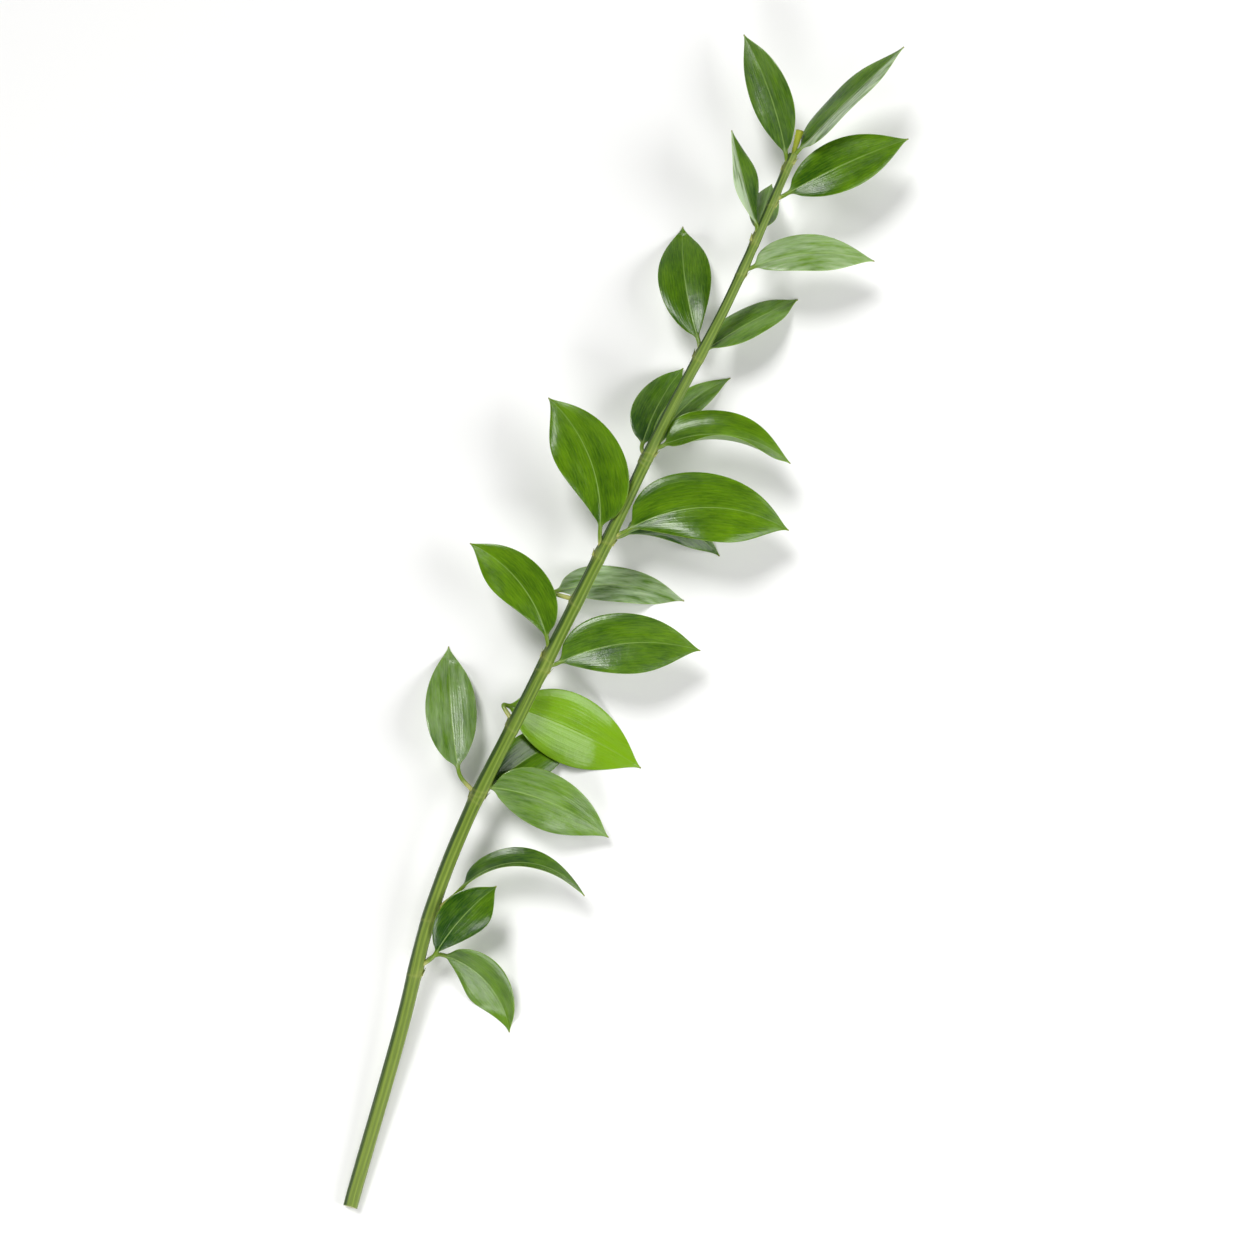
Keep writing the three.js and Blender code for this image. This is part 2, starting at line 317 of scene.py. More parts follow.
def stalk_turns():
    """How far round the cane each stalk leaves it, as the angle of its direction in the section."""
    _, along = cane_at(LEAF_STARTS)
    heading = np.arctan2(along[:, 0], along[:, 1])
    out = direction(heading + np.radians(LEAF_ROWS[:, 1]), np.radians(LEAF_ROWS[:, 5]))
    side, normal = section_axes(along, 0.0)
    return np.arctan2((out * normal).sum(1), (out * side).sum(1))


STALK_TURNS = stalk_turns()


def towards_stalk(turn):
    """One on the side of each leaf's stalk and zero on the far side, leaves along a last axis."""
    return (1 + np.cos(turn[..., None] - STALK_TURNS)) / 2


def wander(distance, drift):
    """A sum of sines of the distance, one for each pair of a swing and a stretch."""
    return sum(swing * np.sin(distance / stretch) for swing, stretch in drift)


def ribs(distance, turn):
    """Waves around the cane that drift as they run along it, from minus one to one."""
    broad = np.cos(RIB_COUNT * (turn + wander(distance, RIB_DRIFT)))
    return broad, np.cos(FINE_RIB_COUNT * turn + distance / FINE_RIB_DRIFT)


def furrow(distance, turn, reach):
    """One along the furrow on the cane's left flank, which wanders a little up and down."""
    middle = FURROW_TURN + wander(distance, FURROW_DRIFT)
    return bump(np.angle(np.exp(1j * (turn - middle))), reach)


def node_rings(distance, turn):
    """The raised ring under each leaf, which sags a little on the far side of the stalk."""
    middle = LEAF_STARTS - RING_BELOW + RING_SAG * (towards_stalk(turn) - 0.5)
    return bump(distance[..., None] - middle, RING_REACH).max(-1)


def cane_skin(distance, turn):
    """The cane's radius: its smooth radius, with ribs, furrow, shoulders and rings added."""
    rib, fine = ribs(distance, turn)
    shoulder = bump(distance[..., None] - LEAF_STARTS, SHOULDER_REACH)
    shoulder = shoulder * towards_stalk(turn) ** SHOULDER_SHARPNESS
    lift = RIB_HEIGHT * (rib - 1) + FINE_RIB_HEIGHT * fine
    lift = lift - FURROW_DEPTH * furrow(distance, turn, FURROW_REACH)
    lift = lift + SHOULDER_HEIGHT * shoulder.max(-1) + RING_HEIGHT * node_rings(distance, turn)
    return SKIN_SHRINK * cane_radius(distance) + lift


# %% [markdown]
# ## Cutting the cane
# The florist's knife leaves a slanted face at the bottom. Rings of growing size, all at the very
# start of the line, make that face, and the slant pushes each point forward by its height above
# the table. The push fades out over the first centimetre, so the skin isn't squeezed.

# %% Build the cane
FACE_RINGS = np.array([0.08, 0.3, 0.5, 0.68, 0.82, 0.92, 0.985])
CANE_STATIONS = 430
FIRST_STATION = 0.25
NODE_STATIONS = 19
NODE_SPAN = 6.5
SCAR_REACH = 3.2
SCAR_BELOW = 1.0
SCAR_SHARPNESS = 3


def build_cane():
    """The cane, with its numbers for the material, as a closed tube."""
    near_leaves = (LEAF_STARTS[:, None] + np.linspace(-NODE_SPAN, NODE_SPAN, NODE_STATIONS)).ravel()
    spread = np.linspace(FIRST_STATION, CANE_LENGTH, CANE_STATIONS)
    stations = np.unique(np.concatenate([spread, near_leaves[near_leaves < CANE_LENGTH]]))
    distance = np.concatenate([np.zeros(len(FACE_RINGS)), stations])[:, None]
    size = np.concatenate([FACE_RINGS, np.ones(len(stations))])[:, None]
    distance, turn = np.broadcast_arrays(distance, turns_around(CANE_AROUND))
    middle, along = cane_at(distance[:, 0])
    side, normal = section_axes(along, 0.0)
    radius = cane_skin(distance, turn) * size
    sections = round_sections(middle, side, normal, radius, turn)
    push = np.clip(1 - distance / CUT_FADE, 0, 1) * math.tan(CUT_SLANT)
    sections[..., 1] += sections[..., 2] * push
    rib, _ = ribs(distance, turn)
    place = np.stack([distance, radius * turn, 0 * distance], -1)
    scar = bump(distance[..., None] - LEAF_STARTS + SCAR_BELOW, SCAR_REACH)
    scar = scar * towards_stalk(turn) ** SCAR_SHARPNESS
    numbers = {
        "height": distance / CANE_LENGTH,
        "rib": (1 + rib) / 2,
        # Painted shade: darkens the colour along the cane's left flank, around the furrow
        "shaded_flank": furrow(distance, turn, SHADED_FLANK_REACH),
        "ring": node_rings(distance, turn),
        "scar": scar.max(-1),
        "cut": 1.0 * (size < 1),
        "reach": np.broadcast_to(size, distance.shape),
        "place": place,
    }
    return closed_tube("cane", sections, numbers)


cane = build_cane()
print("cane:", len(cane.data.polygons), "faces")

# %% [markdown]
# ## A leaf's outline
# The blades are widest near their middle and run out to a point. A sine of a power of the length
# gives that: the power moves the widest spot, and two soft starts narrow the foot and the tip. A
# blade that turns sideways is fuller on its outer half near the foot and on its inner half near
# the tip, so its two sides get slightly different widest spots.

# %% Half the width of a blade
OUTLINE_FULL = 0.7
OUTLINE_FOOT = 0.08
OUTLINE_TIP = 0.11
OUTLINE_POINT = 0.35
OUTLINE_LOPSIDED = 0.0018
OUTLINE_SAMPLES = 101
STALK_RADIUS = 1.1


def outline(share, widest):
    """Sine of a power of the length, to the power OUTLINE_FULL, with a soft foot and tip."""
    arch = np.sin(np.pi * share ** (math.log(0.5) / math.log(widest))).clip(0) ** OUTLINE_FULL
    return arch * (1 - np.exp(-share / OUTLINE_FOOT)) * (1 - np.exp((share - 1) / OUTLINE_TIP))


def half_width(leaf, share, side):
    """Millimetres from the midrib to the edge on one side, which is 1 right and -1 left."""
    widest = leaf["widest"] + OUTLINE_LOPSIDED * leaf["sweep"] * side
    fullest = outline(np.linspace(0, 1, OUTLINE_SAMPLES), widest).max()
    blade = leaf["width"] / 2 * outline(share, widest) / fullest
    return blade + STALK_RADIUS * (1 - share) ** 2 + OUTLINE_POINT * share**2


halfway = half_width(LEAVES[0], np.array(0.5), 1).item()
print("the first leaf is", round(2 * halfway, 1), "mm wide halfway")

# %% [markdown]
# ## The midrib
# The midrib is the leaf's own line. It starts at the end of the stalk and bends steadily to one
# side and down. Walking along it in small steps, each in the mean of the directions at its two
# ends, gives its points. It is made a hair short, so that its tip stays inside the plain stem.

# %% The line of a blade
BLADE_STATIONS = 96
BLADE_CROWDING = 0.08
LENGTH_KEPT = 0.999


def crowded(count, crowding):
    """Shares from 0 to 1 that lie closer together at both ends."""
    t = np.linspace(0, 1, count)
    return t - crowding * np.sin(2 * np.pi * t)


def blade_line(leaf):
    """Shares, points and directions of the midrib, and the cane's middle and way out there."""
    share = crowded(BLADE_STATIONS, BLADE_CROWDING)
    root, cane_along = cane_at(leaf["at"])
    heading = math.atan2(cane_along[0], cane_along[1])
    turn = heading + np.radians(leaf["angle"] + leaf["sweep"] * share)
    along = direction(turn, np.radians(leaf["rise"] - leaf["droop"] * share))
    out = direction(heading + np.radians(leaf["lean"]), np.radians(leaf["rise"]))
    foot = root + out * leaf["stalk"]
    steps = (along[1:] + along[:-1]) / 2 * np.diff(share)[:, None] * leaf["length"] * LENGTH_KEPT
    points = foot + np.vstack([np.zeros(3), np.cumsum(steps, 0)])
    return share, points, along, root, out


# %% [markdown]
# ## The blade's surface
# Across the leaf, each half rises from the midrib at the fold's angle and bends up further by the
# cup, its outer part curls back a little and its edge waves. On top of that come the small forms
# that catch the light: a groove along the midrib, low swells between the main veins, and shallow
# puckers. Blades that reach the table are pressed flat on it with a soft limit.

# %% Height and place across a blade
EDGE_CURL = 0.12
WAVE_HEIGHT = 1.1
WAVE_COUNT = 1.3
WAVE_OFFSET = 0.2
WAVE_TURN = 0.37
CREASE = 0.02
GROOVE_DEPTH = 0.20
GROOVE_REACH = 0.60
GROOVE_ENDING = 0.4
SWELL_HEIGHT = 0.035
SWELL_COUNT = 4.0
SWELL_CROWDING = 0.9
PUCKER_HEIGHT = 0.16
PUCKERS_ALONG = 9
PUCKERS_ACROSS = 4.1
PUCKER_SLANT = 2.6
PUCKER_CHANGE = 5
PUCKER_WIDTH = 30
TABLE_HEIGHT = 0.25
TABLE_SOFTNESS = 0.8


def blade_section(leaf, index, share, across):
    """Millimetres beside and above the midrib, and the slope, for shares and places across.

    The run and the bend are those of an arc that starts at the fold's angle and turns by the
    cup's, most where the blade is wide.
    """
    right, left = half_width(leaf, share, 1), half_width(leaf, share, -1)
    half = np.where(across >= 0, right, left)
    sign = np.sign(across)
    fold = math.radians(leaf["fold"])
    cup = math.radians(leaf["cup"]) * half / (leaf["width"] / 2)
    crease = np.sqrt(across**2 + CREASE) - math.sqrt(CREASE)
    run = (np.sin(fold + cup * np.abs(across)) - math.sin(fold)) / cup
    bend = (math.cos(fold) - np.cos(fold + cup * crease)) / cup - EDGE_CURL * across**4
    phase = WAVE_COUNT * share + WAVE_TURN * index + WAVE_OFFSET * sign
    wave = WAVE_HEIGHT / (leaf["width"] / 2) * across**2 * np.sin(2 * np.pi * phase)
    tilt = fold * sign + cup * across
    return half, half * run * sign, half * (bend + wave), tilt


def small_forms(leaf, index, share, across, beside):
    """Millimetres added to the height: midrib groove, swells between veins, and puckers.

    The puckers are the product of a wave along and a wave across the blade. Three shifts that
    grow with the leaf's number keep the leaves from looking alike.
    """
    shift_along, shift_across, shift_slant = 1.7 * index, 1.3 * index, 2.2 * index
    inside = 1 - across**4
    groove = -GROOVE_DEPTH * bump(beside, GROOVE_REACH) * (1 - share) ** GROOVE_ENDING
    swell = np.cos(2 * np.pi * SWELL_COUNT * np.abs(across) ** SWELL_CROWDING)
    swell = SWELL_HEIGHT * swell * inside
    slant = PUCKER_SLANT * across * np.sin(shift_slant + PUCKER_CHANGE * share)
    pucker = np.sin(PUCKERS_ALONG * share + slant + shift_along)
    pucker = PUCKER_HEIGHT * pucker * np.sin(PUCKERS_ACROSS * across + shift_across) * inside
    grown = np.sin(np.pi * share) * leaf["width"] / PUCKER_WIDTH
    return groove + (swell + pucker) * grown


def lie_on_table(points):
    """Heights with a soft lower limit: a smooth curve between the table's height and their own."""
    lowered = (points[..., 2] - TABLE_HEIGHT) / TABLE_SOFTNESS
    pressed = points.copy()
    pressed[..., 2] = TABLE_HEIGHT + TABLE_SOFTNESS * np.logaddexp(0, lowered)
    return pressed


# %% [markdown]
# ## Stalk and blade in one skin
# A real leaf has no seam between its stalk and its blade, so both are one tube. Its sections are
# round in the stalk and flatten into the blade over its first few millimetres. Each section has
# its points from the right edge over the top to the left edge and back underneath, closer
# together at the midrib and the edges, where the form is fine.

# %% Build one leaf
LEAF_THICKNESS = 0.5
LEAF_ACROSS = 57
ACROSS_CROWDING = 0.1
STALK_STATIONS = 16
STALK_LEAVE = 0.45
STALK_ARRIVE = 0.35
STALK_BASE = 0.25
FLATTENING = 0.09
PATTERN_STEP = 37.0


def ring_across():
    """Places across the blade round a section, its round shape, and which points are below."""
    top = np.linspace(1, -1, LEAF_ACROSS)
    top = top - ACROSS_CROWDING * np.sin(2 * np.pi * top)
    across = np.concatenate([top, top[-2:0:-1]])
    under = np.arange(len(across)) >= LEAF_ACROSS
    turn = np.linspace(0, 2 * np.pi, len(across), endpoint=False)
    return across, under, turn


def stalk_curve(leaf, root, out, foot, along):
    """Middles and directions of a cubic curve from the cane's middle into the blade's foot."""
    t = np.linspace(0, 1, STALK_STATIONS + 1)[:-1, None]
    first = root + out * leaf["stalk"] * STALK_LEAVE
    second = foot - along * leaf["stalk"] * STALK_ARRIVE
    s = 1 - t
    points = s**3 * root + 3 * s**2 * t * first + 3 * s * t**2 * second + t**3 * foot
    slopes = s**2 * (first - root) + 2 * s * t * (second - first) + t**2 * (foot - second)
    return t[:, 0], points, unit(slopes)


def stalk_sections(leaf, root, out, foot, along):
    """Round sections along the stalk, a little thicker where it leaves the cane."""
    _, _, turn = ring_across()
    t, points, slopes = stalk_curve(leaf, root, out, foot, along)
    side, normal = section_axes(slopes, np.radians(leaf["roll"]) * t)
    radius = (STALK_RADIUS + STALK_BASE * (1 - t) ** 3)[:, None]
    return round_sections(points, side, normal, radius, turn), t


def blade_sections(leaf, index, share, points, along):
    """The blade's skin on both faces, and its numbers for the material."""
    across, under, turn = ring_across()
    share, across, under = np.broadcast_arrays(share[:, None], across, under)
    side, normal = section_axes(along, math.radians(leaf["roll"]))
    half, beside, above, tilt = blade_section(leaf, index, share, across)
    above = above + small_forms(leaf, index, share, across, beside)
    layer = lie_on_table(spread_out(points, side, normal, beside, above))
    edge = np.sqrt(np.clip(1 - across**8, 0, 1))
    out = LEAF_THICKNESS / 2 * edge * np.where(under, -1, 1)
    flat = layer - side[:, None] * (out * np.sin(tilt))[..., None]
    flat = flat + normal[:, None] * (out * np.cos(tilt))[..., None]
    tube = round_sections(points, side, normal, STALK_RADIUS, turn)
    grown = np.clip(share / FLATTENING, 0, 1)
    grown = (grown**2 * (3 - 2 * grown))[..., None]
    return tube * (1 - grown) + flat * grown, half, across, beside, under


def build_leaf(leaf, index):
    """One leaf, with its stalk, as a closed tube."""
    share, points, along, root, out = blade_line(leaf)
    stalk, t = stalk_sections(leaf, root, out, points[0], along[0])
    blade, half, across, beside, under = blade_sections(leaf, index, share, points, along)
    sections = np.concatenate([stalk, blade])

    def with_stalk(values, in_stalk):
        return np.concatenate([np.broadcast_to(in_stalk, stalk.shape[:2]), values])

    length_share = with_stalk(np.broadcast_to(share[:, None], across.shape), t[:, None] - 1)
    beside = with_stalk(beside, beside[:1])
    mm_along = length_share * np.where(length_share < 0, leaf["stalk"], leaf["length"])
    own_pattern = np.full_like(beside, PATTERN_STEP * (index + 1))
    numbers = {
        "along": length_share,
        "across": with_stalk(across, across[:1]),
        "beside": beside,
        "margin": with_stalk(half * (1 - np.abs(across)), STALK_RADIUS * 2),
        "under": with_stalk(1.0 * under, 0.0),
        "tone": leaf["tone"],
        # Painted sheen, a pale highlight laid on as colour, and the half it lies on
        "painted_sheen": leaf["painted_sheen"],
        "sheen_half": with_stalk(across * leaf["sheen_side"] + (leaf["sheen_side"] == 0), 0.0),
        "place": np.stack([mm_along, beside, own_pattern], -1),
    }
    return closed_tube(f"leaf_{index + 1:02d}", sections, numbers)


leaves = [build_leaf(leaf, index) for index, leaf in enumerate(LEAVES)]
print("leaves:", sum(len(leaf.data.polygons) for leaf in leaves), "faces")

# %% [markdown]
# ## The bud at the tip
# The stem ends in a closed bud, blunt at its top and wrapped in scales that overlap. A profile
# carried along a short line shows just that: it widens towards the top, and small steps in it are
# the scales' edges, each set a bit further round.

# %% Build the bud
BUD_TURN = math.radians(-8)
BUD_RISE = math.radians(8)
BUD_LENGTH = 13.0
BUD_RADIUS = 1.8
BUD_SHARES = np.array([-0.3, 0.0, 0.1, 0.5, 0.85, 0.96, 0.99, 1.0])
BUD_SIZES = np.array([0.60, 0.60, 0.62, 0.86, 1.06, 1.10, 1.0, 0.3])
BUD_SCALES = 4
BUD_STEP = 0.16
BUD_SQUARENESS = 0.04
STEPS_GROW = 6
STEPS_END = 9
BUD_ROWS = 90
BUD_AROUND = 48


def bud_surface(share, turn):
    """Radius of the bud: its profile, squarish in section, with the scales' edges as steps."""
    profile = BUD_RADIUS * np.interp(share, BUD_SHARES, BUD_SIZES)
    edge = (share * BUD_SCALES + turn / np.pi) % 1
    step = BUD_STEP * (edge**3 - 0.5) * np.clip(share * STEPS_GROW, 0, 1)
    step = step * np.clip((1 - share) * STEPS_END, 0, 1)
    return profile * (1 + BUD_SQUARENESS * np.cos(4 * turn)) + step


def build_bud():
    """The bud, set on the end of the cane, as a closed tube."""
    share = np.linspace(BUD_SHARES[0], 1, BUD_ROWS)[:, None]
    share, turn = np.broadcast_arrays(share, turns_around(BUD_AROUND))
    end, cane_along = cane_at(CANE_LENGTH)
    heading = math.atan2(cane_along[0], cane_along[1])
    along = direction(heading + BUD_TURN, BUD_RISE)
    side, normal = section_axes(along[None], 0.0)
    radius = bud_surface(share, turn)
    sections = round_sections(end + along * BUD_LENGTH * share[:, :1], side, normal, radius, turn)
    place = np.stack([BUD_LENGTH * share, radius * turn, 0 * share], -1)
    return closed_tube("bud", sections, {"height": share, "place": place})


bud = build_bud()
print("bud:", len(bud.data.polygons), "faces")

# %% [markdown]
# ## Dry scales at the nodes
# Ruscus leaves are really flattened shoots, and each one grows from the corner of a tiny true
# leaf, which soon dries to a thin scale. The scale is a small pointed sheet that hugs the cane
# just under the stalk. It is made like a leaf, with short sections that shrink to a point.

# %% Build the scales
SCALE_LENGTH = 4.2
SCALE_WIDTH = 1.5
SCALE_THICKNESS = 0.22
SCALE_LIFT = 0.9
SCALE_GAP = 0.25
SCALE_TAPER = 0.7
SCALE_POINT = 0.08
SCALE_THINNING = 0.6
SCALE_SHORTEST = 0.85
SCALE_VARIETY = 0.3
GOLDEN_SHARE = 0.618
SCALE_ROWS = 12
SCALE_AROUND = 16


def scale_sections(at, turn_to, length):
    """A pointed sheet wrapped round the cane: it narrows as a power and lifts off at its tip."""
    share = np.linspace(0, 1, SCALE_ROWS)[:, None]
    around = np.linspace(0, 2 * np.pi, SCALE_AROUND, endpoint=False)[None, :]
    distance = at - RING_BELOW + length * share[:, 0]
    middle, along = cane_at(distance)
    side, normal = section_axes(along, 0.0)
    width = SCALE_WIDTH * (1 - share) ** SCALE_TAPER + SCALE_POINT
    base = cane_radius(distance)[:, None] + SCALE_GAP + SCALE_LIFT * share**2
    turn = turn_to + width * np.cos(around) / base
    radius = base + SCALE_THICKNESS / 2 * np.sin(-around) * (1 - SCALE_THINNING * share)
    return round_sections(middle, side, normal, radius, turn), share


def build_scales():
    """One scale below each stalk, of slightly different lengths, joined into one object."""
    pieces = []
    for index, (at, turn_to) in enumerate(zip(LEAF_STARTS, STALK_TURNS)):
        length = SCALE_LENGTH * (SCALE_SHORTEST + SCALE_VARIETY * ((index * GOLDEN_SHARE) % 1))
        sections, share = scale_sections(at, turn_to, length)
        place = sections - sections[0].mean(0)
        numbers = {"height": share, "place": place}
        pieces.append(closed_tube(f"scale_{index + 1:02d}", sections, numbers))
    with bpy.context.temp_override(
        active_object=pieces[0], object=pieces[0], selected_editable_objects=pieces
    ):
        bpy.ops.object.join()
    pieces[0].name = "node_scales"
    return pieces[0]


scales = build_scales()
print("scales:", len(scales.data.polygons), "faces")

# %% [markdown]
# ## Working with shader nodes
# The finishes are nodes, and a long row of them is easier to read as a few plain helpers: one
# adds a node and joins its sockets, some do arithmetic, one fades from one value to another, and
# one lays colours over each other like coats of paint.

# %% Short ways to add nodes
def add_node(tree, kind, sockets, **settings):
    """A new node. sockets maps an input's name or number to a value or to another's output."""
    made = tree.nodes.new(kind)
    for setting, value in settings.items():
        setattr(made, setting, value)
    for name, value in sockets.items():
        if isinstance(value, bpy.types.NodeSocket):
            tree.links.new(value, made.inputs[name])
        else:
            made.inputs[name].default_value = value
    return made


def arithmetic(tree, operation, first, second=0.0, limited=False):
    """One sum, product, power or the like of two numbers or outputs."""
    made = add_node(tree, "ShaderNodeMath", {0: first, 1: second}, operation=operation)
    made.use_clamp = limited
    return made.outputs[0]


def times(tree, first, second):
    return arithmetic(tree, "MULTIPLY", first, second)


def plus(tree, first, second, limited=False):
    return arithmetic(tree, "ADD", first, second, limited)


def fade(tree, value, start, end, low=0.0, high=1.0):
    """A smooth change from low, at start, to high, at end."""
    sockets = {"Value": value, "From Min": start, "From Max": end, "To Min": low, "To Max": high}
    made = add_node(tree, "ShaderNodeMapRange", sockets, interpolation_type="SMOOTHSTEP")
    return made.outputs["Result"]


def paint(tree, ground, coats):
    """A ground colour under coats, each a mask and the colour to lay on where the mask is 1."""
    for mask, coat in coats:
        sockets = {0: mask, 6: ground, 7: coat}
        mixed = add_node(tree, "ShaderNodeMix", sockets, data_type="RGBA", clamp_factor=True)
        ground = mixed.outputs[2]
    return ground


def colour(red, green, blue):
    """An opaque colour, from its linear red, green and blue."""
    return (red, green, blue, 1.0)


def read(tree, label, kind="Fac"):
    """What a piece's attribute says at each spot, as a number, or as a vector."""
    return add_node(tree, "ShaderNodeAttribute", {}, attribute_name=label).outputs[kind]


# %% [markdown]
# ## Fibres, the pattern that everything on the stem shares
# Ruscus is a relative of asparagus, and its veins and fibres all run lengthwise: in the cane, in
# the leaves, in the bud and in the scales. So one pattern serves them all: noise that is measured
# in millimetres on the surface and stretched along the grain. It is a node group with a setting
# for how long and how fine the fibres are, built once and used in each finish.

# %% The fibre group
def build_fibres():
    """The group: stretched noise around one half, made stronger and kept from 0 to 1."""
    group = bpy.data.node_groups.new("fibres", "ShaderNodeTree")
    group.interface.new_socket("Place", in_out="INPUT", socket_type="NodeSocketVector")
    for name in ("Length", "Width", "Contrast"):
        group.interface.new_socket(name, in_out="INPUT", socket_type="NodeSocketFloat")
    group.interface.new_socket("Fibre", in_out="OUTPUT", socket_type="NodeSocketFloat")
    given = group.nodes.new("NodeGroupInput")
    result = group.nodes.new("NodeGroupOutput")
    parts = add_node(group, "ShaderNodeSeparateXYZ", {0: given.outputs["Place"]})
    along = arithmetic(group, "DIVIDE", parts.outputs["X"], given.outputs["Length"])
    across = arithmetic(group, "DIVIDE", parts.outputs["Y"], given.outputs["Width"])
    spot = add_node(group, "ShaderNodeCombineXYZ", {"X": along, "Y": across, "Z": parts.outputs["Z"]})
    noise = add_node(group, "ShaderNodeTexNoise", {
        "Vector": spot.outputs[0], "Scale": 1.0, "Detail": 3.0, "Roughness": 0.6,
    })
    centred = plus(group, noise.outputs["Fac"], -0.5)
    stronger = times(group, centred, given.outputs["Contrast"])
    fibre = plus(group, stronger, 0.5, limited=True)
    group.links.new(fibre, result.inputs["Fibre"])
    return group


FIBRES = build_fibres()


def fibres(tree, place, length, width, contrast):
    """The fibre pattern from 0 to 1, its length and width in millimetres."""
    sockets = {"Place": place, "Length": length, "Width": width, "Contrast": contrast}
    return add_node(tree, "ShaderNodeGroup", sockets, node_tree=FIBRES).outputs["Fibre"]


def new_finish(name, constants):
    """An empty material with its main shader, where constants go straight on its sockets."""
    finish = bpy.data.materials.new(name)
    finish.use_nodes = True
    shader = finish.node_tree.nodes["Principled BSDF"]
    for socket, value in constants.items():
        shader.inputs[socket].default_value = value
    return finish, finish.node_tree, shader


def raise_grain(tree, shader, height, depth):
    """Feeds a height from 0 to 1 into the shader as a relief of the given depth in metres."""
    relief = add_node(tree, "ShaderNodeBump", {"Height": height, "Distance": depth})
    tree.links.new(relief.outputs["Normal"], shader.inputs["Normal"])


print("fibre group:", len(FIBRES.nodes), "nodes")

# %% [markdown]
# ## The green of the leaves
# A ruscus leaf is deep green on top, brighter on young leaves and towards the tip. A thin pale
# midrib fades out along it, fine veins follow the outline from foot to tip, the edge is a bright
# thin line, and the tip is a dry yellowish point. Underneath it is paler and matt. Each of these is
# a mask made from the numbers stored on the leaf, laid one over the other.

# %% Masks of the leaf
LEAF_DEEP = colour(0.012, 0.055, 0.001)
LEAF_BRIGHT = colour(0.170, 0.340, 0.004)
# Painted sheen: a pale whitish highlight laid on the leaves as colour
LEAF_SHEEN = colour(0.430, 0.540, 0.340)
LEAF_UNDER = colour(0.240, 0.340, 0.150)
LEAF_VEIN = colour(0.300, 0.450, 0.120)
LEAF_EDGE = colour(0.300, 0.440, 0.040)
LEAF_TIP = colour(0.230, 0.210, 0.035)
STALK_GREEN = colour(0.140, 0.230, 0.020)
STALK_TAN = colour(0.460, 0.450, 0.140)
VEINS_EACH_SIDE = 10.0
VEIN_BENDING = 0.9
VEIN_SHARPNESS = 5.0
FULL_TURN = 6.283
PATCH_SHARE = 0.60
STREAK_SHARE = 0.34
TIP_BRIGHTER = 0.24
# How patchy the painted sheen is, and the least of it
SHEEN_PATCHY = 0.65
SHEEN_LEAST = 0.07

# Fibres: their length and width in millimetres, then their contrast
LONG_BENDS = (30.0, 4.0, 1.0)
TONE_PATCHES = (22.0, 9.0, 1.6)
TONE_STREAKS = (6.0, 0.7, 2.0)
# Patches of the painted sheen
SHEEN_PATCHES = (20.0, 3.0, 3.0)

# Fades: their start and end, then the value at each, if not 0 and 1
# Which half takes the painted sheen
SHEENED_HALF = (0.0, 0.3)
MIDRIB_ACROSS = (0.16, 0.48, 0.5, 0.0)
MIDRIB_ALONG = (0.3, 1.0, 1.0, 0.25)


def leaf_veins(tree, place):
    """Thin lines that follow the outline: a high power of a cosine across, bent by long noise."""
    bend = times(tree, fibres(tree, place, *LONG_BENDS), VEIN_BENDING)
    turns = plus(tree, times(tree, read(tree, "across"), VEINS_EACH_SIDE), bend)
    wave = arithmetic(tree, "COSINE", times(tree, turns, FULL_TURN))
    raised = times(tree, plus(tree, wave, 1.0), 0.5)
    return arithmetic(tree, "POWER", raised, VEIN_SHARPNESS)


def leaf_tone(tree, place):
    """How bright the green is: the leaf's own tone, with patches, streaks and a brighter tip."""
    patches = plus(tree, fibres(tree, place, *TONE_PATCHES), -0.5)
    streaks = plus(tree, fibres(tree, place, *TONE_STREAKS), -0.5)
    past_middle = plus(tree, read(tree, "along"), -0.5)
    varied = plus(tree, read(tree, "tone"), times(tree, patches, PATCH_SHARE))
    varied = plus(tree, varied, times(tree, streaks, STREAK_SHARE))
    return plus(tree, varied, times(tree, past_middle, TIP_BRIGHTER), limited=True)


def painted_sheen_film(tree, place):
    """Share of painted sheen: the leaf's own amount, in soft long patches, on its sheened half."""
    film = plus(tree, times(tree, fibres(tree, place, *SHEEN_PATCHES), SHEEN_PATCHY), SHEEN_LEAST)
    film = times(tree, film, read(tree, "painted_sheen"))
    return times(tree, film, fade(tree, read(tree, "sheen_half"), *SHEENED_HALF))


def midrib_line(tree):
    """How pale the midrib is, which thins and fades towards the tip."""
    near = arithmetic(tree, "ABSOLUTE", read(tree, "beside"))
    thin = fade(tree, near, *MIDRIB_ACROSS)
    return times(tree, thin, fade(tree, read(tree, "along"), *MIDRIB_ALONG))


# %% The leaf's finish
VEIN_SHARE = 0.04
UNDER_SHARE = 0.8
LEAF_ROUGHNESS = 0.21
UNDER_ROUGHER = 0.28
STREAKS_ROUGHER = 0.08
FINE_RELIEF = 0.0825
PUCKER_RELIEF = 0.495

# More fibres and fades
LEAF_STREAKS = (9.0, 0.5, 2.0)
LEAF_PUCKERS = (5.0, 7.0, 1.4)
EDGE_LINE = (0.05, 0.35, 0.5, 0.0)
FOOT_AND_STALK = (0.0, 0.07, 1.0, 0.0)
STALK_ROOT = (-0.7, -0.3, 0.8, 0.0)
DRY_POINT = (0.975, 0.997, 0.0, 0.7)


